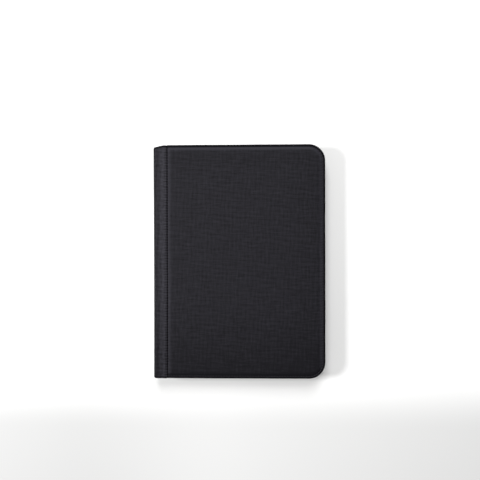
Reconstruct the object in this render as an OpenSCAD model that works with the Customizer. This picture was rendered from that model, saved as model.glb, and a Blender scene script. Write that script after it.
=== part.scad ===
// Zipped card binder: two padded covers, a soft spine, and side loading pocket pages.
// Frame: origin under the middle of the closed case, spine on -X, head on +Y, front cover on top.

/* [Case] */
// width from the spine to the fore edge
case_w = 250; // [230:1:300]
// height along the spine
case_h = 340; // [320:1:380]
// thickness of the closed case
case_t = 36; // [32:0.5:60]
// radius of the two fore edge corners
corner_r = 22; // [16:1:40]
// thickness of each cover
cover_t = 4.5; // [4:0.1:6]

/* [Cover layers] */
// thickness of the woven outer fabric
fabric_t = 0.8; // [0.5:0.1:1.2]
// thickness of the stiff board in each panel
board_t = 2; // [1:0.1:2.4]
// thickness of the inner lining
lining_t = 0.5; // [0.3:0.1:1]

/* [Spine] */
// outer rounding where the spine turns into a cover
spine_r = 6; // [4:0.5:8]
// depth of each fold line below the outer faces
fold_in = 1.3; // [0.8:0.1:2]
// distance from the spine's outer face to the stitched seam
seam_at = 20; // [16:0.5:30]
// width of the groove at the stitched seam
seam_w = 1.2; // [0.8:0.1:2]
// how far the foam and board stop short of the cover's edge
fold_over = 7; // [5:0.5:10]
// how much shorter the soft strip is than the covers, at each end
strip_short = 1.5; // [0:0.1:3]

/* [Pages] */
// number of pocket pages, an even number
page_count = 20; // [4:2:20]
// height of a page
page_h = 296; // [290:1:310]
// thickness of the opaque middle sheet
core_t = 0.3; // [0.2:0.05:0.5]
// thickness of the clear film
film_t = 0.1; // [0.05:0.01:0.2]
// room for a card between sheet and film
card_gap = 0.32; // [0.3:0.01:0.34]
// clear width of a pocket
pocket_w = 66; // [64:0.5:68]
// clear height of a pocket
pocket_h = 93; // [90:0.5:95]
// width of a weld line
weld_w = 3; // [2:0.5:4]

/* [Zip] */
// distance from the cover's edge in to the zip
zip_inset = 6.5; // [6:0.1:8]
// thickness of the zip tape
tape_t = 0.7; // [0.5:0.05:1]
// height of each coil
coil_h = 2.6; // [2:0.1:3]
// how far a coil stands out from the tape
coil_out = 2; // [1.6:0.1:2.4]
// gap between the two halves of the zip
zip_gap = 1; // [0.8:0.1:1.4]
// where the slider is parked along the tail
slider_at = -95; // [-100:1:-80]
// length of the pull tab from its pin
pull_l = 22; // [15:1:24]

/* [Hidden] */
// which sub-part is drawn, or all of them

half_w = case_w / 2;
half_h = case_h / 2;
mid_z = case_t / 2;
hem_r = cover_t / 2;
foam_t = cover_t - fabric_t - board_t - lining_t;
seam_x = seam_at - half_w;
panel_x = seam_x + seam_w / 2;
strip_h = case_h - 2 * strip_short;
fold_gap = 0.106;
pitch = (case_t - 2 * cover_t - 1) / page_count;
page_end = half_w - 16;
page_skin = core_t / 2 + card_gap;
column = pocket_w + weld_w + 1;
row = pocket_h + weld_w;
column_x = page_end - weld_w - 3 * column;
page_r = 6;
binding_x = fabric_t + board_t - half_w;
binding_t = 1.3;
zip_low = mid_z + zip_gap / 2;
tape_x = 5.5 - half_w;
slider_l = 12;
slider_y = coil_h + zip_gap / 2 + 1.3;
plate_t = 1;
slider_clear = 0.3;
pin_r = 0.6;
pin_u = coil_out + slider_clear + plate_t + pin_r + 0.15;
fine = 96;

PAGES = [for (i = [1:page_count]) i];

function two(i) = str(i < 10 ? "0" : "", i);
function page_z(i) = mid_z + (page_count / 2 + 0.5 - i) * pitch;
function page_s(i) = mid_z - fold_in - abs(page_z(i) - mid_z);
function page_x(i) = fold_in + page_s(i) - half_w;

// turns a piece of the front cover into the same piece of the back cover
module at_back() {
    translate([0, 0, case_t]) mirror([0, 0, 1]) children();
}

// draws a shape of width and height as a bar that runs along the spine
module along_spine(length) {
    translate([0, length / 2, 0]) rotate([90, 0, 0]) linear_extrude(length) children();
}

// sheet outline with its two fore edge corners rounded
module sheet_outline(x0, x1, h, r) {
    translate([x0, -h]) square([x1 - r - x0, 2 * h]);
    translate([x1 - r, r - h]) square([r, 2 * (h - r)]);
    for (s = [-1, 1]) {
        translate([x1 - r, s * (h - r)]) intersection() {
            circle(r = r, $fn = fine);
            translate([0, s > 0 ? 0 : -r]) square([r, r]);
        }
    }
}

// outline of a cover panel, drawn in by one distance on the free sides and another at the seam
module inset_outline(inset, at_seam) {
    sheet_outline(panel_x + at_seam, half_w - inset, half_h - inset, corner_r - inset);
}

// runs a profile along head, fore edge and tail, with the profile's x pointing outward
module round_three_sides(inset, head_x, tail_x) {
    corner_x = half_w - corner_r;
    corner_y = half_h - corner_r;
    translate([half_w - inset, corner_y, 0]) rotate([90, 0, 0]) linear_extrude(2 * corner_y) children();
    for (s = [0, 1]) mirror([0, s, 0]) {
        start = s == 0 ? head_x : tail_x;
        translate([start, half_h - inset, 0]) rotate([90, 0, 90]) linear_extrude(corner_x - start) children();
        translate([corner_x, corner_y, 0]) rotate_extrude(angle = 90, $fn = fine)
            translate([corner_r - inset, 0]) children();
    }
}

// half disc with its flat side on the vertical axis
module half_round(r) {
    intersection() {
        circle(r = r, $fn = 64);
        translate([0, -r]) square([r, 2 * r]);
    }
}

// outer fabric of a cover, with a rolled hem and a turned over allowance on its three free sides
module cover_fabric() {
    difference() {
        union() {
            translate([0, 0, case_t - cover_t]) linear_extrude(cover_t)
                inset_outline(hem_r, 0);
            translate([0, 0, case_t - hem_r]) round_three_sides(hem_r, panel_x, panel_x) half_round(hem_r);
        }
        translate([0, 0, case_t - cover_t]) linear_extrude(cover_t - fabric_t)
            inset_outline(fold_over - 0.1, fabric_t);
        translate([0, 0, case_t - cover_t - 1]) linear_extrude(lining_t + 1)
            inset_outline(hem_r + 0.35, fabric_t);
    }
}

// one flat layer inside a cover, from a depth below its outer face
module cover_layer(depth, thick, inset) {
    translate([0, 0, case_t - depth - thick]) linear_extrude(thick) inset_outline(inset, fabric_t + 0.1);
}

// soft strip between the fold line and the stitched seam
module cover_shoulder() {
    fold_x = fold_in - half_w + fold_gap;
    fold_z = case_t - fold_in + fold_gap;
    low = case_t - cover_t;
    along_spine(strip_h) {
        intersection() {
            union() {
                translate([spine_r - half_w, case_t - spine_r]) circle(r = spine_r, $fn = fine);
                translate([spine_r - half_w, low]) square([seam_x - seam_w / 2 - spine_r + half_w, cover_t]);
            }
            polygon([
                [fold_x - 4, fold_z + 4],
                [fold_x + fold_z - low, low],
                [seam_x, low],
                [seam_x, fold_z + 4]
            ]);
        }
        translate([seam_x - seam_w / 2, low]) square([seam_w, cover_t - 1.4]);
    }
}

// zip tape: a cloth wall that hangs from the cover inside its edge
module cover_tape() {
    round_three_sides(zip_inset, tape_x, tape_x)
        translate([-tape_t, zip_low]) square([tape_t, case_t - cover_t - zip_low]);
}

// coil bead of the zip, which starts at its own place along the tail
module cover_coil(tail_x) {
    round_three_sides(zip_inset, tape_x + 0.5, tail_x) {
        translate([0, zip_low]) square([coil_out - 1, coil_h]);
        translate([coil_out - 1, zip_low + 1]) square([1, coil_h - 2]);
        for (z = [zip_low + 1, zip_low + coil_h - 1]) {
            translate([coil_out - 1, z]) half_round(1);
        }
    }
}

// moulded stop at the spine end of a coil
module coil_stop(side) {
    y = half_h - zip_inset;
    translate([tape_x + 0.5, side > 0 ? y : -y - coil_out - 0.2, zip_low])
        cube([2.5, coil_out + 0.2, coil_h + 0.2]);
}

// outline of one slider plate, seen from outside the case
module plate_outline() {
    r = 1.6;
    square([slider_l, 2 * (slider_y - r)], center = true);
    square([slider_l - 2 * r, 2 * slider_y], center = true);
    for (x = [-1, 1]) {
        for (y = [-1, 1]) {
            translate([x * (slider_l / 2 - r), y * (slider_y - r)]) circle(r = r, $fn = 48);
        }
    }
}

// moves a piece drawn flat to the slider's place on the tail, facing out
module at_slider() {
    translate([slider_at, zip_inset - half_h, mid_z]) rotate([90, 0, 0]) children();
}

// clear film of the pockets on one side of a page, with its weld lines
module pocket_side() {
    top = row * 1.5 + weld_w / 2;
    translate([0, 0, core_t / 2]) linear_extrude(card_gap + film_t) {
        for (k = [0:2]) {
            translate([column_x + k * column + pocket_w + 1, -top]) square([weld_w, 2 * top]);
        }
        for (k = [-1.5:1:1.5]) {
            translate([column_x + 1, k * row - weld_w / 2]) square([3 * column - 1, weld_w]);
        }
    }
    translate([0, 0, page_skin]) linear_extrude(film_t) {
        for (k = [0:2]) {
            translate([column_x + k * column + 1, -top]) square([column - 1, 2 * top]);
        }
        translate([column_x + 1, -top]) square([3 * column - 1, weld_w]);
        translate([page_end - weld_w - 1, page_r - page_h / 2]) square([weld_w + 2, page_h - 2 * page_r]);
        for (k = [-0.5:1:1.5]) {
            translate([column_x + 1, k * row - weld_w / 2]) square([3 * column - 1, weld_w]);
        }
    }
}

module front_outer_fabric() color("#2b2a30") cover_fabric();
module back_outer_fabric() color("#2b2a30") at_back() cover_fabric();
module front_foam_pad() color("#8d8f94") cover_layer(fabric_t, foam_t, fold_over);
module back_foam_pad() color("#8d8f94") at_back() cover_layer(fabric_t, foam_t, fold_over);
module front_board() color("#7a6f62") cover_layer(fabric_t + foam_t, board_t, fold_over);
module back_board() color("#7a6f62") at_back() cover_layer(fabric_t + foam_t, board_t, fold_over);
module front_lining() color("#1c1c20") cover_layer(cover_t - lining_t, lining_t, hem_r + 0.45);
module back_lining() color("#1c1c20") at_back() cover_layer(cover_t - lining_t, lining_t, hem_r + 0.45);
module front_shoulder() color("#35343a") cover_shoulder();
module back_shoulder() color("#35343a") at_back() cover_shoulder();
module front_zip_tape() color("#18181a") cover_tape();
module back_zip_tape() color("#18181a") at_back() cover_tape();

module front_zip_coil() {
    color("#101012") {
        cover_coil(slider_at + slider_l / 2 + 0.4);
        coil_stop(1);
    }
}

module back_zip_coil() {
    color("#101012") at_back() {
        cover_coil(tape_x + 0.5);
        coil_stop(1);
        coil_stop(-1);
    }
}

module spine_fabric() {
    color("#35343a") along_spine(strip_h) {
        translate([-half_w, spine_r]) square([fabric_t, case_t - 2 * spine_r]);
        for (s = [0, 1]) {
            translate([spine_r - half_w, s * case_t]) mirror([0, s]) translate([0, spine_r]) mirror([0, 1])
                intersection() {
                    difference() {
                        circle(r = spine_r, $fn = fine);
                        circle(r = spine_r - fabric_t, $fn = fine);
                    }
                    polygon([[-2 * fold_gap, 0], [-10, 0], [-10, 10 - 2 * fold_gap]]);
                }
        }
    }
}

module spine_board() {
    color("#7a6f62") translate([fabric_t - half_w, 3 - half_h, spine_r])
        cube([board_t, case_h - 6, case_t - 2 * spine_r]);
}

// strip on the spine's inner face with one thin rib for every page
module page_binding() {
    low = page_z(page_count) - 0.25;
    color("#1c1c20") {
        translate([binding_x, 4 - half_h, low]) cube([binding_t, case_h - 8, case_t - 2 * low]);
        for (i = PAGES) {
            reach = page_x(i) - 0.2 - binding_x - 0.5;
            translate([binding_x + 0.5, -page_h / 2, page_z(i) - core_t / 2]) cube([reach, page_h, core_t]);
        }
    }
}

module page_core(i) {
    color("#202024") translate([0, 0, page_z(i) - core_t / 2]) linear_extrude(core_t)
        sheet_outline(page_x(i) + 0.2, page_end, page_h / 2, page_r);
}

module page_pockets(i) {
    color("#c8d2dc", 0.35) translate([0, 0, page_z(i)]) {
        pocket_side();
        mirror([0, 0, 1]) pocket_side();
        translate([page_end, page_r - page_h / 2, -page_skin - film_t])
            cube([1, page_h - 2 * page_r, 2 * (page_skin + film_t)]);
    }
}

// slider body: plates on both sides of the tape, side flanges, a dividing post and a bridge
module zip_slider() {
    out = coil_out + slider_clear;
    wall = 1;
    color("#3a3b3f") at_slider() {
        translate([0, 0, out]) linear_extrude(plate_t) plate_outline();
        translate([0, 0, -tape_t - slider_clear - plate_t]) linear_extrude(plate_t) plate_outline();
        for (s = [-1, 1]) {
            translate([1.6 - slider_l / 2, s > 0 ? slider_y - wall : -slider_y, slider_clear])
                cube([slider_l - 3.2, wall, coil_out + 0.5]);
        }
        translate([0.4 - slider_l / 2, -0.3, -tape_t - slider_clear - 0.5]) cube([1.6, 0.6, out + tape_t + 1.3]);
        translate([0, 1.2, 0]) rotate([90, 0, 0]) linear_extrude(2.4) difference() {
            union() {
                translate([-3.5, out + 0.5]) square([7, plate_t + 0.8]);
                translate([-2.5, out + 0.5]) square([5, plate_t + 1.8]);
                for (x = [-2.5, 2.5]) {
                    translate([x, out + plate_t + 1.3]) circle(r = 1, $fn = 48);
                }
            }
            translate([-2.3, out + plate_t]) square([4.6, 2 * pin_r + 0.25]);
        }
    }
}

// pull tab that swings on a pin held under the slider's bridge
module zip_pull() {
    color("#46474c") at_slider() translate([0, 0, pin_u]) {
        rotate([90, 0, 0]) cylinder(r = pin_r, h = 5.2, center = true, $fn = 48);
        for (s = [-1, 1]) {
            translate([0, s * 2 - 0.5, -0.5]) cube([5, 1, 1]);
        }
        translate([0, 0, -0.5]) linear_extrude(1) difference() {
            union() {
                translate([4.4, -2.5]) square([4, 5]);
                translate([8, -3.5]) square([pull_l - 11.5, 7]);
                translate([pull_l - 3.5, 0]) circle(r = 3.5, $fn = 64);
            }
            translate([pull_l - 3.5, 0]) circle(r = 1.3, $fn = 48);
        }
    }
}

front_outer_fabric();
front_foam_pad();
front_board();
front_lining();
front_shoulder();
front_zip_tape();
front_zip_coil();
back_outer_fabric();
back_foam_pad();
back_board();
back_lining();
back_shoulder();
back_zip_tape();
back_zip_coil();
spine_fabric();
spine_board();
page_binding();
zip_slider();
zip_pull();
for (i = PAGES) {
    page_core(i);
    page_pockets(i);
}
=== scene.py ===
"""Zipped card binder, closed on a pale table, seen from straight above."""
import math

import bmesh
import bpy
import numpy as np
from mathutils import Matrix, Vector


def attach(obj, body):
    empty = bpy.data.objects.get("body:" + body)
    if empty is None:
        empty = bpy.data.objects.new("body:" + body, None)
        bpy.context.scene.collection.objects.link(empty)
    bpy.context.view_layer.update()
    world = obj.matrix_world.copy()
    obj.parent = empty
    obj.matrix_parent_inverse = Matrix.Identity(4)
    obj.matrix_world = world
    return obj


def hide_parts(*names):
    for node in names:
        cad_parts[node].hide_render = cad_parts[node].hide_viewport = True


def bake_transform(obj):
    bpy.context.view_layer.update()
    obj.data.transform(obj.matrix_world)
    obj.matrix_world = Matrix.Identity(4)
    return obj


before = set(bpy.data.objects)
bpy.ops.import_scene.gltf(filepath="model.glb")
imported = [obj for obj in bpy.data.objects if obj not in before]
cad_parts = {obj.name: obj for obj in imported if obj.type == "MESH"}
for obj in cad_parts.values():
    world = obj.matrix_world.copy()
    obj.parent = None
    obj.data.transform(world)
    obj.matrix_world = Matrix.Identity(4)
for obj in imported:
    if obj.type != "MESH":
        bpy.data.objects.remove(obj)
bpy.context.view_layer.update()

# Lengths and places are in millimetres, unless a comment says otherwise. A piece that both covers have is
# built for the front cover, and turned() brings its twin to the back cover.
HALF_W, HALF_H, THICK, CORNER = 125.0, 170.0, 36.0, 24.0
MID = THICK / 2
PANEL_X = -104.4  # the padded panel begins here
SEAM_X = -105.0  # the seam between the strip beside the spine and the panel
STITCH = 3.85  # from one stitch to the next
PAGES = 20
PAGE_PITCH = 1.3  # from one page to the next in the binding
FOLD_IN = 1.3  # the hinges' axes lie this far inside the case's corners
ZIP_INSET = 6.5  # from the covers' edge to the zip's cloth wall
TAPE_END_X = -119.5  # the zip's wall ends here, beside the spine
SLIDER_X = -95.0  # the slider's place at rest
ON_TABLE = 0.02  # the back cover's cloth stops this far above the table
UP = (0, 0, 1.0)
ALONG_SPINE = (0, 1.0, 0)


def body_of(back):
    """The cover that a piece belongs to."""
    return "back_cover" if back else "front_cover"


def same(direction, count):
    """One direction for each of a number of stitches."""
    return np.tile(direction, (count, 1))


# ---------------------------------------------------------------- materials
class Nodes:
    """Short way to build one material's node tree."""

    def __init__(self, name):
        self.mat = bpy.data.materials.new(name)
        self.mat.use_nodes = True
        self.tree = self.mat.node_tree
        self.bsdf = self.tree.nodes["Principled BSDF"]
        self.at = self.add("ShaderNodeTexCoord").outputs["Object"]  # in metres

    def add(self, kind, **settings):
        node = self.tree.nodes.new(kind)
        for key, value in settings.items():
            setattr(node, key, value)
        return node

    def put(self, socket, value):
        if isinstance(value, bpy.types.NodeSocket):
            self.tree.links.new(value, socket)
        else:
            socket.default_value = value

    def maths(self, operation, a, b=0.0, c=0.0):
        node = self.add("ShaderNodeMath", operation=operation)
        for socket, value in zip(node.inputs, (a, b, c)):
            self.put(socket, value)
        return node.outputs[0]

    def vector(self, operation, a, b=(0, 0, 0), c=(0, 0, 0)):
        node = self.add("ShaderNodeVectorMath", operation=operation)
        for socket, value in zip(node.inputs, (a, b, c)):
            self.put(socket, value)
        return node.outputs["Value" if operation in ("DOT_PRODUCT", "LENGTH") else "Vector"]

    def noise(self, scale, detail, stretch=None, tilt=0.0):
        """Soft noise, finer with a larger scale, and drawn out along an axis where stretch is small."""
        at = self.at
        if stretch:
            mapping = self.add("ShaderNodeMapping", vector_type="POINT")
            self.put(mapping.inputs["Vector"], at)
            mapping.inputs["Scale"].default_value = stretch
            mapping.inputs["Rotation"].default_value = (0, 0, tilt)
            at = mapping.outputs[0]
        node = self.add("ShaderNodeTexNoise")
        self.put(node.inputs["Vector"], at)
        node.inputs["Scale"].default_value = scale
        node.inputs["Detail"].default_value = detail
        return node.outputs["Fac"]

    def waves(self, weights, period, wander=0.0):
        """A sine of the position along a direction, from 0 to 1, with that period in millimetres."""
        place = self.vector("DOT_PRODUCT", self.at, weights)
        shift = self.maths("MULTIPLY", self.noise(45, 1.0), 2 * math.pi * wander) if wander else 0.0
        turns = self.maths("MULTIPLY_ADD", place, 2 * math.pi * 1000 / period, shift)
        return self.maths("MULTIPLY_ADD", self.maths("SINE", turns), 0.5, 0.5)

    def along(self, axis, start, end):
        """The position along an axis, in millimetres, as a smooth step from 0 at start to 1 at end."""
        place = self.add("ShaderNodeSeparateXYZ")
        self.put(place.inputs[0], self.at)
        return self.step(self.maths("MULTIPLY", place.outputs[axis], 1000.0), start, end)

    def step(self, value, start, end):
        """A smooth step from 0 where the value is start to 1 where it is end."""
        share = self.add("ShaderNodeMapRange", interpolation_type="SMOOTHSTEP")
        self.put(share.inputs["Value"], value)
        share.inputs["From Min"].default_value, share.inputs["From Max"].default_value = start, end
        return share.outputs["Result"]

    def inside(self):
        """How far the point lies inside the cover's free sides, in millimetres."""
        folded = self.vector("ABSOLUTE", self.vector("MULTIPLY", self.at, (0, 1000, 0)))
        place = self.vector("MULTIPLY_ADD", self.at, (1000, 0, 0), folded)
        beyond = self.vector("SUBTRACT", place, (HALF_W - CORNER, HALF_H - CORNER, 0))
        distance = self.vector("LENGTH", self.vector("MAXIMUM", beyond))
        return self.maths("SUBTRACT", CORNER, distance)

    def ramp(self, fac, dark, light):
        mix = self.add("ShaderNodeMix", data_type="RGBA")
        self.put(mix.inputs["Factor"], fac)
        mix.inputs["A"].default_value = (*dark, 1)
        mix.inputs["B"].default_value = (*light, 1)
        return mix.outputs["Result"]

    def bump(self, height, distance):
        node = self.add("ShaderNodeBump")
        node.inputs["Distance"].default_value = distance / 1000
        self.put(node.inputs["Height"], height)
        self.put(self.bsdf.inputs["Normal"], node.outputs[0])

    def shade(self, **values):
        """Set the shader's sockets, with an underscore for each space in a name, and give the material."""
        for key, value in values.items():
            self.put(self.bsdf.inputs[key.replace("_", " ")], value)
        return self.mat


def woven(
    name, dark, light, thread=0.9, slub=1.3, depth=0.12, rough=0.6, shine=0.1, painted_light_across=None, rim=0.0, tail=None
):
    """Plain weave: threads that pass over and under each other, with uneven slubs along both directions.

    thread and slub are widths. The argument after shine is (x of the dark side, x of the light side,
    strength) of painted light and shade across the cloth; rim is the strength of the painted highlight and
    shade over a pad's rim, and tail is (y where the cloth begins to darken, y where that ends, strength)
    of a painted shade.
    """
    n = Nodes(name)
    warp, weft = n.waves((1, 0, 0.35), thread), n.waves((0, 1, 0.35), thread)
    over = n.waves((0.5, 0.5, 0.25), thread)
    warp_seen = n.maths("MULTIPLY", warp, over)
    weft_seen = n.maths("MULTIPLY", weft, n.maths("SUBTRACT", 1.0, over))
    cloth = n.maths("ADD", warp_seen, weft_seen)
    upright = n.noise(1000 / slub, 1.0, (1, 0.1, 0.6), tilt=0.04)
    level = n.noise(1000 / slub, 1.0, (0.1, 1, 0.6), tilt=0.09)
    slubs = n.maths("MULTIPLY_ADD", level, 2.3, n.maths("MULTIPLY_ADD", upright, 1.8, -1.55))
    # Every few threads a thicker one is laid in, along both directions.
    thick_warp = n.waves((1, -0.04, 0), 6.0, wander=1.2)
    bands = n.maths("ADD", thick_warp, n.waves((0.09, 1, 0), 7.0, wander=1.0))
    n.bump(n.maths("ADD", cloth, n.maths("MULTIPLY", slubs, 0.8)), depth)
    tone = n.maths("MULTIPLY_ADD", cloth, 0.3, n.maths("MULTIPLY_ADD", slubs, 0.57, 0.015))
    tone = n.maths("ADD", tone, n.maths("MULTIPLY_ADD", bands, 0.21, -0.17))
    if painted_light_across:
        # Painted shade on one side and painted highlight on the other, with painted shade of a fold at
        # every stitch of the seam.
        start, end, strength = painted_light_across
        painted_light_tone = n.maths("MULTIPLY_ADD", n.along("X", start, end), strength, -strength / 2)
        tone = n.maths("ADD", tone, painted_light_tone)
        folds = n.maths("MULTIPLY", n.waves((0, 1, 0), STITCH), n.along("X", SEAM_X - 7.0, SEAM_X - 1.0))
        tone = n.maths("MULTIPLY_ADD", folds, -0.6, n.maths("ADD", tone, 0.12))
    if rim:
        # Painted highlight over the pad's rim, strongest at the head, weaker along the fore edge and
        # beside the seam, and painted shade over the rim along the tail.
        by_side = n.maths("MULTIPLY_ADD", n.along("Y", -164, -150), 1.6, -0.2)
        by_side = n.maths("MULTIPLY_ADD", n.along("Y", 140, 160), 0.3, by_side)
        free_sides = n.maths("MULTIPLY", n.step(n.inside(), 10.0, 5.0), by_side)
        rim_light_and_shade = n.maths("ADD", free_sides, n.along("X", PANEL_X + 7.0, PANEL_X + 2.0))
        tone = n.maths("MULTIPLY_ADD", rim_light_and_shade, rim, tone)
        # Painted shade of the small folds at the stitches of the tail and of the fore edge.
        at_tail = n.maths("MULTIPLY", n.waves((1, 0, 0), STITCH), n.along("Y", -148, -158))
        at_fore = n.maths("MULTIPLY", n.waves((0, 1, 0), STITCH), n.along("X", 100, 113))
        folds = n.maths("MULTIPLY_ADD", at_tail, 1.7, at_fore)
        folds = n.maths("MULTIPLY", folds, n.step(n.inside(), 9.5, 5.0))
        tone = n.maths("MULTIPLY_ADD", folds, -0.8, tone)
        # Painted light: lighter in the middle than along the head and the fore edge.
        painted_middle_light = n.maths("MULTIPLY", n.along("Y", 160, 115), n.along("X", 115, 50))
        tone = n.maths("MULTIPLY_ADD", painted_middle_light, 0.13, tone)
    # Painted shade: darker towards the tail.
    if tail:
        start, end, strength = tail
        tone = n.maths("MULTIPLY_ADD", n.along("Y", start, end), strength, tone)
    # Tone above one, from the lightest slubs and from the painted highlights, goes beyond the light tone,
    # to twice as far from the dark one.
    lightest_tone = [2 * high - low for low, high in zip(dark, light)]
    colour = n.ramp(n.maths("MULTIPLY", tone, 0.5), dark, lightest_tone)
    return n.shade(Base_Color=colour, Roughness=rough, Specular_IOR_Level=shine)


def plain(name, dark, light, rough=0.5, scale=400, depth=0.03, **more):
    """A moulded or coated surface with fine mottling."""
    n = Nodes(name)
    grain = n.noise(scale, 3.0)
    n.bump(grain, depth)
    return n.shade(Base_Color=n.ramp(grain, dark, light), Roughness=rough, **more)


def tape_cloth(name):
    """Herringbone tape: diagonal ribs that turn at regular lines."""
    n = Nodes(name)
    height = n.waves((0, 0, 1), 3.2)
    slant = n.vector("DOT_PRODUCT", n.at, (1, 1, 0))
    zigzag = n.maths("MULTIPLY", height, 5.0)
    turns = n.maths("MULTIPLY_ADD", slant, 2 * math.pi * 1000 / 1.1, zigzag)
    ribs = n.maths("MULTIPLY_ADD", n.maths("SINE", turns), 0.5, 0.5)
    n.bump(ribs, 0.12)
    return n.shade(
        Base_Color=n.ramp(ribs, (0.012, 0.012, 0.013), (0.038, 0.037, 0.041)),
        Roughness=0.8,
        Sheen_Weight=0.08,
        Specular_IOR_Level=0.3,
    )


def film():
    """Clear pocket film, a little milky."""
    n = Nodes("pocket_film")
    n.bump(n.noise(30, 0.0), 0.03)
    return n.shade(
        Base_Color=n.ramp(n.noise(25, 1.0), (0.72, 0.76, 0.80), (0.82, 0.86, 0.90)),
        Roughness=0.16,
        Alpha=0.2,
        Specular_IOR_Level=0.6,
    )


# The look of each kind of piece: a dark and a light colour, and how its surface is made.
M = {
    "cover": woven(
        # painted highlight and shade over the pad's rim, and painted shade towards the tail
        "cover_cloth", (0.0045, 0.0042, 0.0060), (0.0136, 0.0130, 0.0170), rim=1.0, tail=(-50, -175, -0.45)
    ),
    "strip": woven(
        "strip_cloth",
        (0.0028, 0.0025, 0.0040),
        (0.0236, 0.0225, 0.0284),
        slub=0.8,
        # painted light and shade: darker over the spine's fold, lighter towards the seam's crest; painted
        # shade towards the tail
        painted_light_across=(-126, -108, 0.85),
        tail=(-20, -170, -0.3),
    ),
    "hem": woven(
        "hem_cloth", (0.0016, 0.0014, 0.0026), (0.0070, 0.0066, 0.0092), slub=1.1, rough=0.7, shine=0.08
    ),
    "edge": woven(
        "edge_cloth", (0.0030, 0.0029, 0.0036), (0.0085, 0.0081, 0.0098), thread=0.6, rough=0.9, shine=0.0
    ),
    "lining": woven(
        "lining_cloth",
        (0.010, 0.010, 0.012),
        (0.026, 0.026, 0.030),
        thread=0.5,
        depth=0.05,
        rough=0.8,
        shine=0.2,
    ),
    "tape": tape_cloth("zip_tape_cloth"),
    "coil": plain("coil_nylon", (0.018, 0.018, 0.020), (0.036, 0.036, 0.039), rough=0.32),
    "thread": plain("sewing_thread", (0.007, 0.007, 0.009), (0.022, 0.021, 0.025), rough=0.6, scale=2500),
    "metal": plain(
        "lacquered_metal",
        (0.030, 0.030, 0.033),
        (0.055, 0.055, 0.060),
        rough=0.3,
        Metallic=0.7,
        Coat_Weight=0.4,
        Coat_Roughness=0.15,
    ),
    "binding": plain("binding_strip_vinyl", (0.012, 0.012, 0.014), (0.026, 0.026, 0.030), rough=0.55),
    "sheet": woven(
        "page_sheet",
        (0.010, 0.010, 0.012),
        (0.024, 0.024, 0.028),
        thread=1.2,
        depth=0.02,
        rough=0.7,
        shine=0.08,
    ),
    "board": plain("grey_board", (0.22, 0.19, 0.15), (0.36, 0.32, 0.26), rough=0.9, scale=900),
    "film": film(),
}


# ---------------------------------------------------------------- mesh tools
def turned(verts):
    """The same piece on the back cover."""
    out = np.array(verts, float)
    out[..., 2] = THICK - out[..., 2]
    return out


def make(name, verts, faces, material, body=None, crease=40):
    """One closed mesh from points in millimetres."""
    mesh = bpy.data.meshes.new(name)
    mesh.from_pydata((np.asarray(verts, float).reshape(-1, 3) / 1000).tolist(), [], faces)
    bm = bmesh.new()
    bm.from_mesh(mesh)
    bmesh.ops.recalc_face_normals(bm, faces=bm.faces)
    bm.to_mesh(mesh)
    bm.free()
    mesh.shade_smooth()
    mesh.set_sharp_from_angle(angle=math.radians(crease))
    mesh.materials.append(M[material])
    obj = bpy.data.objects.new(name, mesh)
    bpy.context.scene.collection.objects.link(obj)
    if body:
        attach(obj, body)
    return obj


def loft_faces(count, around, start=0):
    """Quads between rings of equal length, then a cap on the first ring and one on the last."""
    faces = []
    for i in range(count - 1):
        a, b = start + i * around, start + (i + 1) * around
        for j in range(around):
            k = (j + 1) % around
            faces.append((a + j, a + k, b + k, b + j))
    faces.append(tuple(start + j for j in reversed(range(around))))
    faces.append(tuple(start + (count - 1) * around + j for j in range(around)))
    return faces


def three_sides(inset, end_x, pitch):
    """Stations along head, fore edge and tail: points, outward normals and lengths along the path.

    Both ends of the path are at end_x.
    """
    cx, cy, r = HALF_W - CORNER, HALF_H - CORNER, CORNER - inset
    arc = r * math.pi / 2
    parts = [cx - end_x, arc, 2 * cy, arc, cx - end_x]
    ends = np.cumsum(parts)
    along = np.linspace(0, ends[-1], round(ends[-1] / pitch) + 1)
    p, n = np.zeros((len(along), 2)), np.zeros((len(along), 2))
    for i, s in enumerate(along):
        if s <= ends[0]:
            p[i], n[i] = (end_x + s, HALF_H - inset), (0, 1)
        elif s <= ends[1]:
            a = (s - ends[0]) / r
            n[i] = (math.sin(a), math.cos(a))
            p[i] = np.array((cx, cy)) + r * n[i]
        elif s <= ends[2]:
            p[i], n[i] = (HALF_W - inset, cy - (s - ends[1])), (1, 0)
        elif s <= ends[3]:
            a = (s - ends[2]) / r
            n[i] = (math.cos(a), -math.sin(a))
            p[i] = np.array((cx, -cy)) + r * n[i]
        else:
            p[i], n[i] = (cx - (s - ends[3]), inset - HALF_H), (0, -1)
    return p, n, along


def swept(path, sections):
    """Points of a closed section (outward, height) at each station of a path."""
    p, n, _ = path
    out = np.zeros((*sections.shape[:2], 3))
    out[..., :2] = p[:, None] + n[:, None] * sections[..., :1]
    out[..., 2] = sections[..., 1]
    return out


def stitches(points, along, up, length, radius, dip=0.12):
    """One small bowed capsule of thread at each point, with its ends dipped into the cloth."""
    side = np.cross(along, up)
    verts, faces = [], []
    # Place along the stitch, and thickness there.
    shape = [(-0.5, 0.25), (-0.42, 0.75), (-0.2, 1.0), (0.2, 1.0), (0.42, 0.75), (0.5, 0.25)]
    around = [2 * math.pi * k / 6 for k in range(6)]
    for s, fat in shape:
        bow = dip * (1 - (2 * s) ** 2) - dip
        centre, r = points + along * (s * length), radius * fat
        ring = [centre + up * (bow + math.cos(a) * r) + side * (math.sin(a) * r) for a in around]
        verts.append(np.stack(ring, 1))
    verts = np.stack(verts, 1)
    for i in range(len(points)):
        faces += loft_faces(len(shape), len(around), start=i * len(around) * len(shape))
    return verts.reshape(-1, 3), faces


# Steps of a panel's outline: across, down and round each corner.
NX, NY, ARC = 44, 60, 8


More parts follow.
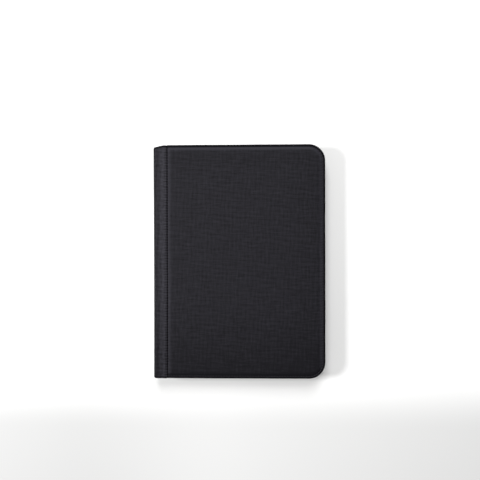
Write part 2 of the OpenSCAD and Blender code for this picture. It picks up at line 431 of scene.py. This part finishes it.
def outline(a, b):
    """Closed panel outline and its evenly spaced square twin.

    Both are drawn in by a on the free sides and by b at the seam.
    """
    x0, x1, h = PANEL_X + b, HALF_W - a, HALF_H - a
    rf, rs = max(CORNER - a, 1.2), max(2.5 - b, 0.8)
    corners = [(x0, h, rs, -1, 1), (x1, h, rf, 1, 1), (x1, -h, rf, 1, -1), (x0, -h, rs, -1, -1)]
    rounded, square = [], []
    for k in range(4):
        (xa, ya, ra, sxa, sya), (xb, yb, rb, sxb, syb) = corners[k], corners[(k + 1) % 4]
        ca, cb = np.array((xa - sxa * ra, ya - sya * ra)), np.array((xb - sxb * rb, yb - syb * rb))
        out = np.array([(0, 1), (1, 0), (0, -1), (-1, 0)][k], float)
        run = np.array([(1, 0), (0, -1), (-1, 0), (0, 1)][k], float)
        steps = (NX, NY)[k % 2]
        side = []
        for t in np.linspace(-math.pi / 4, 0, ARC // 2, endpoint=False):
            side.append(ca + ra * (math.cos(t) * out + math.sin(t) * run))
        for t in np.linspace(0, 1, steps, endpoint=False):
            side.append(ca + ra * out + t * ((cb + rb * out) - (ca + ra * out)))
        for t in np.linspace(0, math.pi / 4, ARC // 2, endpoint=False):
            side.append(cb + rb * (math.cos(t) * out + math.sin(t) * run))
        rounded += side
        pa, pb = np.array((xa, ya)), np.array((xb, yb))
        square += [pa + t * (pb - pa) for t in np.linspace(0, 1, steps + ARC, endpoint=False)]
    return np.array(rounded), np.array(square)


def panel(name, rings, lumps, material, body, back):
    """A padded panel from rings of (free inset, seam inset, height, squareness), lower edge to middle.

    lumps is how far its surface departs from an even one.
    """
    across, down = NX + ARC, NY + ARC
    verts, faces = [], []
    around = 2 * (across + down)
    for a, b, z, sq in rings:
        rounded, square = outline(a, b)
        xy = rounded * (1 - sq) + square * sq
        verts.append(np.column_stack([xy, np.full(len(xy), z)]))
    verts = list(np.concatenate(verts))
    faces = loft_faces(len(rings), around)[:-2]

    def fill(base, z):
        """A grid of quads across the inside of the ring that begins at point base."""
        index = np.zeros((down + 1, across + 1), int)
        index[0, :] = [base + j for j in range(across + 1)]
        index[:, across] = [base + across + j for j in range(down + 1)]
        index[down, :] = [base + 2 * across + down - j for j in range(across + 1)]
        index[:, 0] = [base + (around - j) % around for j in range(down + 1)]
        for i in range(1, down):
            for j in range(1, across):
                share = j / across
                row = (1 - share) * verts[index[i, 0]] + share * verts[index[i, across]]
                row[2] = z
                index[i, j] = len(verts)
                verts.append(row)
        for i in range(down):
            for j in range(across):
                faces.append((index[i, j], index[i, j + 1], index[i + 1, j + 1], index[i + 1, j]))

    fill((len(rings) - 1) * around, rings[-1][2])
    fill(0, rings[0][2])
    verts = np.array(verts)
    if lumps:
        # The pad isn't quite even; its lower edge stays as it is.
        x, y, z = verts.T
        rise = z - rings[0][2] - 0.6
        soft = 0.5 * np.sin(x / 37 + 1.0) * np.cos(y / 53)
        soft = soft + 0.3 * np.sin(x / 19 - y / 31) + 0.2 * np.cos(x / 11 + y / 23)
        verts[:, 2] += lumps * soft * np.clip(rise / 1.5, 0, 1)
    if back:
        verts[:, 2] = np.minimum(verts[:, 2], THICK - ON_TABLE)
        verts = turned(verts)
    return make(name, verts, faces, material, body, crease=60)


# ---------------------------------------------------------------- covers
# Rings of the padded top panel, from its hidden lower edge up to its middle: how far in from the free
# sides, how far in from the seam, height, and how square the ring is.
PAD = [
    (3.6, 0.9, 33.50, 0.0),
    (3.3, 0.6, 33.80, 0.0),
    (3.6, 0.55, 34.20, 0.0),
    (4.1, 0.65, 34.60, 0.0),
    (4.8, 1.0, 34.98, 0.0),
    (6.0, 2.1, 35.34, 0.0),
    (7.8, 4.1, 35.72, 0.0),
    (10.0, 6.2, 35.96, 0.02),
    (14.0, 9.0, 36.08, 0.08),
    (22.0, 14.0, 36.15, 0.25),
    (31.0, 22.0, 36.19, 0.6),
    (42.0, 32.0, 36.22, 1.0),
]
# The same for the lining inside the cover.
LINING = [
    (2.9, 0.9, 31.98, 0.0),
    (2.8, 0.8, 31.75, 0.0),
    (3.2, 1.0, 31.56, 0.0),
    (4.2, 1.6, 31.50, 0.0),
    (5.0, 2.2, 31.58, 0.0),
    (6.0, 3.0, 31.50, 0.0),
    (20.0, 12.0, 31.50, 0.3),
    (40.0, 30.0, 31.48, 1.0),
]
# Sections of the rolled hem and of the binding outside it: outward from the cover's edge, and height.
HEM = np.array([
    (-4.2, 33.7), (-3.85, 34.0), (-3.5, 34.6), (-3.05, 35.15), (-2.65, 35.5), (-2.2, 35.66),
    (-1.8, 35.6), (-1.55, 35.2), (-1.5, 34.4), (-1.5, 32.2), (-4.2, 32.2),
])
EDGE = np.array([
    (-1.7, 34.7), (-1.25, 34.95), (-0.85, 34.82), (-0.42, 34.45), (-0.12, 34.0), (0.0, 33.4),
    (-0.02, 32.8), (-0.4, 32.1), (-1.2, 31.65), (-2.3, 31.5), (-3.3, 31.55), (-3.5, 32.0), (-1.7, 32.4),
])
# How much each point of the hem's section gives way to the stitches.
HEM_PULL = np.array([0.2, 1.0, 1.0, 0.7, 0.4, 0.15, 0, 0, 0, 0, 0])
EDGE_PULL = 0 * EDGE[:, 0]
HEM_STITCH_INSET, HEM_STITCH_Z = 3.55, 34.3


def edging(name, section, pull_by, material, back):
    """A roll round the three free sides, pulled in a little at every stitch."""
    path = three_sides(0, PANEL_X, STITCH / 4)
    pull = 0.5 + 0.5 * np.cos(path[2] / STITCH * 2 * math.pi)
    sections = np.repeat(section[None], len(path[0]), 0)
    sections[..., 1] -= 0.35 * pull[:, None] * pull_by
    drift = 0.08 * np.sin(path[2] / 41) + 0.05 * np.sin(path[2] / 13 + 1)
    sections[..., 0] -= drift[:, None] * (section[:, 0] > -2)
    verts = swept(path, sections)
    verts = turned(verts) if back else verts
    faces = loft_faces(*verts.shape[:2])
    make(name, verts, faces, material, body_of(back), crease=70)


def hem_thread(name, back):
    """The row of stitches in the groove between hem and panel."""
    p, n, _ = three_sides(HEM_STITCH_INSET, PANEL_X + 1.5, STITCH)
    points = np.column_stack([p, np.full(len(p), HEM_STITCH_Z)])
    run = np.column_stack([n[:, 1], -n[:, 0], np.zeros(len(p))])
    verts, faces = stitches(points, run, same(UP, len(p)), STITCH * 0.74, 0.3)
    verts = turned(verts) if back else verts
    make(name, verts, faces, "thread", body_of(back))


for side, back in (("front", False), ("back", True)):
    pad = panel(f"{side}_padded_panel", PAD, 0.12, "cover", body_of(back), back)
    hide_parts(f"{side}_outer_fabric", f"{side}_foam_pad")
    edging(f"{side}_rolled_hem", HEM, HEM_PULL, "hem", back)
    edging(f"{side}_edge_binding", EDGE, EDGE_PULL, "edge", back)
    hem_thread(f"{side}_hem_stitching", back)
    inner = panel(f"{side}_inner_lining", LINING, 0.0, "lining", body_of(back), back)
    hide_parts(f"{side}_lining")

# ---------------------------------------------------------------- spine
# Section of half the cloth round the spine, (x, height): first its outer face, from the middle of the
# spine over the fold to the groove of the seam, then its inner face back to the spine.
FOLD_R, FOLD_X, FOLD_Z = 6, -119, 30  # the fold round the edge of the spine
WRAP_OUTER = [(-125.0, z) for z in (18, 20, 22, 24, 26, 28)]
WRAP_OUTER += [
    (FOLD_X + FOLD_R * math.cos(math.radians(a)), FOLD_Z + FOLD_R * math.sin(math.radians(a)))
    for a in range(180, 89, -10)
]
WRAP_OUTER += [
    (-117.0, 35.85), (-115.2, 35.72), (-113.4, 35.68), (-111.8, 35.74), (-110.2, 35.88), (-108.7, 36.08),
    (-107.5, 36.26), (-106.0, 36.34), (-105.2, 36.15), (-104.8, 35.6), (-104.65, 34.8), (-104.6, 34.0),
    (-104.5, 33.4),
]
WRAP_INNER = [
    (-103.65, 33.2), (-103.65, 32.1), (-104.6, 31.6), (-108, 31.5), (-111, 31.5), (-114, 31.5),
    (-116.5, 31.48), (-118.5, 31.4), (-120.0, 31.2), (-121.4, 30.95), (-122.6, 30.75), (-123.6, 30.5),
    (-124.12, 30.0), (-124.2, 29), (-124.2, 26), (-124.2, 22), (-124.2, 18),
]
WRAP = np.array(WRAP_OUTER + WRAP_INNER)
WRAP_STITCHES = 88  # stitches in the seam's length
HEAD_Y, TAIL_Y = 169.4, -169.8
CREST_X = -106.0  # top of the seam's crest
STRIP_X = -113  # lowest line of the strip
# Past GROOVE_X the cloth takes the darker edge cloth as painted shade of the groove.
GROOVE_X = -104.95  # past it the cloth is the sewn-down edge in the groove
WRAP_MIDDLE = (-118.0, 31.5)  # the ends draw in towards this point of the section
ROUNDED_END = ((0, 0.05), (0.5, 0.015), (1.2, 0.004))  # distance from the end, and how far it draws in


def spine_wrap(name, back):
    """Half of the soft cloth round the spine, from its middle over the fold to the stitched seam."""
    stations = np.linspace(0, 1, 4 * WRAP_STITCHES + 1)
    x = WRAP[:, 0]
    round_fold = np.clip((FOLD_X - x) / FOLD_R, 0, 1)
    head = HEAD_Y - 3.6 * np.clip((-109 - x) / 16, 0, 1) ** 1.2
    tail = 0.6 * round_fold**1.6 + TAIL_Y
    y = tail[None] + stations[:, None] * (head - tail)[None]
    verts = np.zeros((len(stations), len(WRAP), 3))
    verts[..., 0], verts[..., 1], verts[..., 2] = x[None], y, WRAP[None, :, 1]
    outer = np.arange(len(WRAP)) < len(WRAP_OUTER)
    # The cloth is drawn in at every stitch of the seam and stands up between them.
    pull = 0.5 + 0.5 * np.sin(y / STITCH * 2 * math.pi)
    at_seam = np.exp(-(((x - CREST_X) / 2.6) ** 2)) * outer
    verts[..., 2] -= 0.55 * pull * at_seam[None]
    # A few long soft waves on the strip, and a spine that is slightly hollow between its ends.
    wave = np.sin(y / 23 + x[None] / 9) * 0.5 + np.sin(y / 9.5 + 2) * 0.3
    verts[..., 2] += 0.13 * wave * (np.exp(-(((x - STRIP_X) / 5) ** 2)) * outer)[None]
    verts[..., 0] += 0.45 * (1 - (y / 169) ** 2) * round_fold[None]
    # The cloth sinks in a line along each turned-in end.
    from_end = np.minimum(head[None] - y, y - tail[None])
    on_strip = outer & (np.abs(x + 114) < 8)
    verts[..., 2] -= 0.3 * np.exp(-(((from_end - 2.6) / 0.6) ** 2)) * on_strip[None]
    for k, (distance, share) in enumerate(ROUNDED_END):
        for i in (k, -1 - k):
            verts[i, :, 0] += (WRAP_MIDDLE[0] - verts[i, :, 0]) * share * outer
            verts[i, :, 2] += (WRAP_MIDDLE[1] - verts[i, :, 2]) * share * outer
        verts[k, :, 1] = verts[0, :, 1] + distance
        verts[-1 - k, :, 1] = verts[-1, :, 1] - distance
    if back:
        verts[..., 2] = np.minimum(verts[..., 2], THICK - ON_TABLE)
        verts = turned(verts)
    wrap = make(name, verts, loft_faces(*verts.shape[:2]), "strip", crease=75)
    # Painted shade in the seam's groove: the cloth that goes down into it takes the darker edge cloth. The
    # turned-in ends take the darker hem cloth.
    wrap.data.materials.append(M["edge"])
    wrap.data.materials.append(M["hem"])
    turned_in = len(ROUNDED_END)
    for face in wrap.data.polygons:
        ring = face.index // len(WRAP)
        at_end = ring < turned_in or ring > len(stations) - turned_in - 2
        face.material_index = 1 if face.center.x * 1000 > GROOVE_X else 2 * int(at_end)
    z = (lambda v: THICK - v) if back else (lambda v: v)
    z(26.5) / 1000
    z(32.5) / 1000
    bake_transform(wrap)
    return wrap


def seam_thread(name, back):
    """Stitches deep in the groove, each between two of the seam's folds."""
    y = np.arange(-43.25 * STITCH, HALF_H - 3.5, STITCH)
    count = len(y)
    points = np.column_stack([np.full(count, SEAM_X + 0.75), y, np.full(count, 33.6)])
    along, up = same(ALONG_SPINE, count), same(UP, count)
    verts, faces = stitches(points, along, up, STITCH * 0.72, 0.34, dip=0.25)
    verts = turned(verts) if back else verts
    make(name, verts, faces, "thread", body_of(back))


front_wrap = spine_wrap("front_spine_wrap", False)
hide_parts("front_shoulder", "spine_fabric")
back_wrap = spine_wrap("back_spine_wrap", True)
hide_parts("back_shoulder")
seam_thread("front_seam_stitching", False)
seam_thread("back_seam_stitching", True)


def bar(name, section, y0, y1, round_by, material, body):
    """A bar along the spine with a closed (x, z) section and softly rounded ends."""
    section = np.asarray(section, float)
    cx, cz = section.mean(0)
    # Share of the rounding's length, and size of the section there.
    span = [(0, 0.82), (0.25, 0.94), (0.6, 0.985), (1, 1)]
    stations = [(y0 + round_by * a, k) for a, k in span]
    stations += [(y, 1) for y in np.linspace(y0, y1, 12)[1:-1]]
    stations += [(y1 - round_by * a, k) for a, k in reversed(span)]
    verts = np.array([
        [(cx + (x - cx) * k, y, cz + (z - cz) * k) for x, z in section] for y, k in stations
    ])
    return make(name, verts, loft_faces(*verts.shape[:2]), material, body, crease=60)


def soft_box(x0, x1, z0, z1, r):
    """Rounded rectangle section."""
    out = []
    corners = ((x1 - r, z1 - r, 0), (x0 + r, z1 - r, 90), (x0 + r, z0 + r, 180), (x1 - r, z0 + r, 270))
    for cx, cz, start in corners:
        for turn in (0, 30, 60, 90):
            a = math.radians(start + turn)
            out.append((cx + r * math.cos(a), cz + r * math.sin(a)))
    return out


# The lining wraps the spine's board, and the binding strip is sewn down on it.
section = soft_box(-124.4, -122.0, 5.7, 30.3, 0.5)
bar("spine_lining", section, -167.6, 167.6, 1.0, "lining", "spine")
section = soft_box(-122.0, -120.9, 5.3, 30.7, 0.45)
strip = bar("binding_strip", section, -166, 166, 1.0, "binding", "spine")
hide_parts("page_binding")
y = np.arange(-162, 163, STITCH)
rows = np.concatenate([
    np.column_stack([np.full(len(y), -120.88), y, np.full(len(y), z)]) for z in (6.0, 30.0)
])
away = same((1.0, 0, 0), len(rows))
verts, faces = stitches(rows, same(ALONG_SPINE, len(rows)), away, STITCH * 0.7, 0.2)
make("binding_stitching", verts, faces, "thread", "spine")


# ---------------------------------------------------------------- pages
def page_place(i):
    """The turning line's x and the height of one page."""
    z = MID + (PAGES / 2 + 0.5 - i) * PAGE_PITCH
    s = MID - FOLD_IN - abs(z - MID)
    return FOLD_IN + s - HALF_W, z


PAGE_X, PAGE_HALF_H, PAGE_CORNER, SHEET_T = 109.0, 148.0, 6.0, 0.3
RIB_X = -121.3  # the rib ends inside the binding strip
FLAT_X = -98  # the even part of the sheet begins here


def page_sheet(i):
    """Opaque middle sheet of one page, in one piece with its rib of the binding."""
    x_fold, z = page_place(i)
    x1, h, r = PAGE_X, PAGE_HALF_H, PAGE_CORNER
    bend = x_fold + np.array([-0.4, 0.3, 1.0, 1.8, 2.6, 3.4, 4.4])
    corner = x1 - r + r * np.sin(np.radians([15, 30, 45, 60, 75, 90]))
    xs = np.concatenate([[RIB_X, x_fold - 1.0], bend, np.linspace(FLAT_X, x1 - r, 14), corner])
    half = np.where(xs > x1 - r, h - r + np.sqrt(np.maximum(r * r - (xs - x1 + r) ** 2, 0)), h)
    share = np.linspace(-1, 1, 21)
    n, m = len(xs), len(share)
    verts = []
    for side_of_page in (1, -1):
        grid = np.zeros((n, m, 3))
        grid[..., 0] = xs[:, None]
        grid[..., 1] = half[:, None] * share[None]
        grid[..., 2] = z + side_of_page * SHEET_T / 2
        verts.append(grid.reshape(-1, 3))
    faces, low = [], n * m
    for a in range(n - 1):
        for b in range(m - 1):
            q = (a * m + b, a * m + b + 1, (a + 1) * m + b + 1, (a + 1) * m + b)
            faces += [q, tuple(low + v for v in reversed(q))]
    rim = [a * m for a in range(n)] + [(n - 1) * m + b for b in range(1, m)]
    rim += [a * m + m - 1 for a in range(n - 2, -1, -1)] + list(range(m - 2, 0, -1))
    for a, b in zip(rim, rim[1:] + rim[:1]):
        faces.append((a, b, low + b, low + a))
    sheet = make(f"page_sheet_{i:02d}", np.concatenate(verts), faces, "sheet")
    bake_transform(sheet)
    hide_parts(f"page_core_{i:02d}")


for i in range(1, PAGES + 1):
    page_sheet(i)


# ---------------------------------------------------------------- zip
TAPE_T = 0.7
TAPE_PITCH = 3.0  # from one station or stitch of the tape to the next
BOW, BOW_FROM, BOW_HEIGHT = 0.55, 23, 8.4  # the wall's bow: how far out, from which height, how high
TAPE_STITCH_Z = 24.6
TOOTH_PITCH = 1.3
TEETH_END_X = TAPE_END_X + 3.4
OPEN_TO_X = SLIDER_X + 6.4  # from the spine to here, inside the slider, the front row has no teeth


def tape(name, back):
    """Cloth wall of the zip, bowed out a little between its seams."""
    path = three_sides(ZIP_INSET, TAPE_END_X, TAPE_PITCH)
    heights = np.array([18.5, 19.2, 21, 23, 25, 27, 29, 30.6, 31.45])
    bow = BOW * np.sin(np.clip((heights - BOW_FROM) / BOW_HEIGHT, 0, 1) * math.pi)
    section = list(zip(bow, heights)) + list(zip(bow[::-1] - TAPE_T, heights[::-1]))
    section = np.repeat(np.array(section)[None], len(path[0]), 0)
    section[..., 0] += 0.12 * np.sin(path[2] / 17)[:, None] * (np.abs(section[..., 1] - 27) < 3)
    verts = swept(path, section)
    verts = turned(verts) if back else verts
    faces = loft_faces(*verts.shape[:2])
    obj = make(name, verts, faces, "tape", body_of(back), crease=50)
    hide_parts("back_zip_tape" if back else "front_zip_tape")


def tape_thread(name, back):
    """A row of stitches along the tape."""
    p, n, _ = three_sides(ZIP_INSET, TAPE_END_X + 2, TAPE_PITCH)
    bow = BOW * math.sin((TAPE_STITCH_Z - BOW_FROM) / BOW_HEIGHT * math.pi)
    points = np.column_stack([p + n * (bow + 0.02), np.full(len(p), TAPE_STITCH_Z)])
    run = np.column_stack([n[:, 1], -n[:, 0], np.zeros(len(p))])
    verts, faces = stitches(points, run, np.column_stack([n, np.zeros(len(p))]), 2.2, 0.2)
    verts = turned(verts) if back else verts
    make(name, verts, faces, "thread", body_of(back))


def coil(name, tail_x, back):
    """Nylon teeth that grip the tape's edge, each reaching between two teeth of the other half.

    Along the tail they begin at tail_x.
    """
    full = three_sides(ZIP_INSET, TEETH_END_X, TOOTH_PITCH / 2)
    p, n, _ = (a[(1 if back else 0) :: 2] for a in full)
    keep = ~((p[:, 1] < 0) & (p[:, 0] < tail_x) & (n[:, 1] < -0.99))
    p, n = p[keep], n[keep]
    run = np.column_stack([n[:, 1], -n[:, 0]])
    # Height, half width along the zip, and how far out the tooth begins and ends.
    rings = [(17.72, 0.10, 0.85, 1.15), (17.9, 0.26, 0.45, 1.6), (18.6, 0.27, 0.2, 1.85)]
    rings += [(19.4, 0.22, 0.05, 1.95), (20.6, 0.22, 0.03, 1.75), (21.0, 0.18, 0.03, 1.2)]
    verts = []
    for z, half, inner, outer in rings:
        left = [(-half, inner), (-half, outer - 0.2), (-half * 0.4, outer)]
        ring = left + [(-s, u) for s, u in reversed(left)]
        xy = np.stack([p + run * s + n * u for s, u in ring], 1)
        verts.append(np.concatenate([xy, np.full((*xy.shape[:2], 1), z)], 2))
    verts = np.stack(verts, 1).reshape(-1, 3)
    faces = []
    for i in range(len(p)):
        faces += loft_faces(len(rings), len(ring), start=i * len(ring) * len(rings))
    # Moulded stops at the spine ends: rings of (height, how far they draw in).
    for out in (1, -1) if back else (1,):
        y = out * (HALF_H - ZIP_INSET)
        block = []
        for z, g in ((18.5, 0.35), (18.8, 0.0), (20.9, 0.0), (21.3, 0.35)):
            spine_side = [(-119 + g, 0.02), (-119 + g, 1.7), (-118.4 + g, 2.2 - g)]
            fore_side = [(-117.1 - g, 2.2 - g), (-116.5 - g, 1.7), (-116.5 - g, 0.02)]
            block.append([(x, y + out * u, z) for x, u in spine_side + fore_side])
        block = np.array(block)
        faces += loft_faces(*block.shape[:2], start=len(verts))
        verts = np.concatenate([verts, block.reshape(-1, 3)])
    verts = turned(verts) if back else verts
    obj = make(name, verts, faces, "coil", body_of(back), crease=50)
    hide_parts("back_zip_coil" if back else "front_zip_coil")


tape("front_tape_cloth", False)
tape("back_tape_cloth", True)
tape_thread("front_tape_stitching", False)
tape_thread("back_tape_stitching", True)
coil("front_zip_teeth", OPEN_TO_X, False)
coil("back_zip_teeth", TAPE_END_X, True)

# ---------------------------------------------------------------- CAD nodes that stay
KEPT = {"front_board": "board", "back_board": "board", "spine_board": "board"}
KEPT.update({"zip_slider": "metal", "zip_pull": "metal"})
KEPT.update({f"page_pockets_{i:02d}": "film" for i in range(1, PAGES + 1)})
for node, material in KEPT.items():
    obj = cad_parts[node]
    if material == "metal":
        bevel = obj.modifiers.new("worn_edges", "BEVEL")
        bevel.width, bevel.segments, bevel.limit_method = 0.00018, 2, "ANGLE"
    if not obj.material_slots:
        obj.data.materials.append(M[material])
    for slot in obj.material_slots:
        slot.material = M[material]

# ---------------------------------------------------------------- stage, light and camera
def floor_material():
    """Pale table, with painted shade that makes it greyer towards the near side and towards the left of
    it.
    """
    n = Nodes("pale_table")
    n.bump(n.noise(300, 2.0), 0.02)
    mottle = n.maths("MULTIPLY_ADD", n.noise(14, 2.0), 0.12, 0.92)
    # Painted shade: the table darkens towards the near side and towards the left, where the light falls
    # off.
    tone = n.maths("MULTIPLY", n.along("Y", -255, -150), n.maths("MULTIPLY", mottle, 0.65))
    tone = n.maths("MULTIPLY_ADD", n.along("X", -270, 0), 0.25, n.maths("ADD", tone, 0.12))
    colour = n.ramp(tone, (0.5, 0.5, 0.498), (0.92, 0.92, 0.915))
    return n.shade(Base_Color=colour, Roughness=0.75, Specular_IOR_Level=0.2)


# From here on places and sizes are in metres, and lamps in watts.
FLOOR = 4  # from the middle to each side
FLOOR_GAP = 0.0003  # the table lies this far below the cloth

mesh = bpy.data.meshes.new("table_top")
corners = [(-FLOOR, -FLOOR, 0), (FLOOR, -FLOOR, 0), (FLOOR, FLOOR, 0), (-FLOOR, FLOOR, 0)]
mesh.from_pydata(corners, [], [(0, 1, 2, 3)])
mesh.materials.append(floor_material())
table_top = bpy.data.objects.new("table_top", mesh)
table_top.location.z = -FLOOR_GAP
bpy.context.scene.collection.objects.link(table_top)

world = bpy.data.worlds.new("studio")
bpy.context.scene.world = world
world.use_nodes = True
background = world.node_tree.nodes["Background"]
background.inputs["Color"].default_value = (1.0, 1.0, 1.0, 1)
background.inputs["Strength"].default_value = 0.3


def softbox(name, place, size, power):
    """A square lamp that points at the middle of the case."""
    data = bpy.data.lights.new(name, "AREA")
    data.shape, data.size, data.size_y, data.energy = "RECTANGLE", size, size, power
    light = bpy.data.objects.new(name, data)
    light.location = place
    light.rotation_mode = "QUATERNION"
    light.rotation_quaternion = (-Vector(place)).to_track_quat("-Z", "Y")
    bpy.context.scene.collection.objects.link(light)


softbox("key_softbox", (-1.33, 0.05, 1.3), 0.45, 31)
softbox("overhead_softbox", (0.05, 1.2, 1.8), 1.1, 37)

# The camera looks down from a metre up, turned by up to two degrees as in the picture.
camera = bpy.data.objects.new("camera", bpy.data.cameras.new("camera"))
camera.data.lens, camera.data.sensor_width = 50, 36
camera.data.clip_start, camera.data.clip_end = 0.02, 20
camera.location = (0.0316, 0.0406, 1.0017)
camera.rotation_euler = (-0.0094, 0.0311, -0.002)
bpy.context.scene.collection.objects.link(camera)
bpy.context.scene.camera = camera
bpy.context.scene.view_settings.view_transform = "Standard"
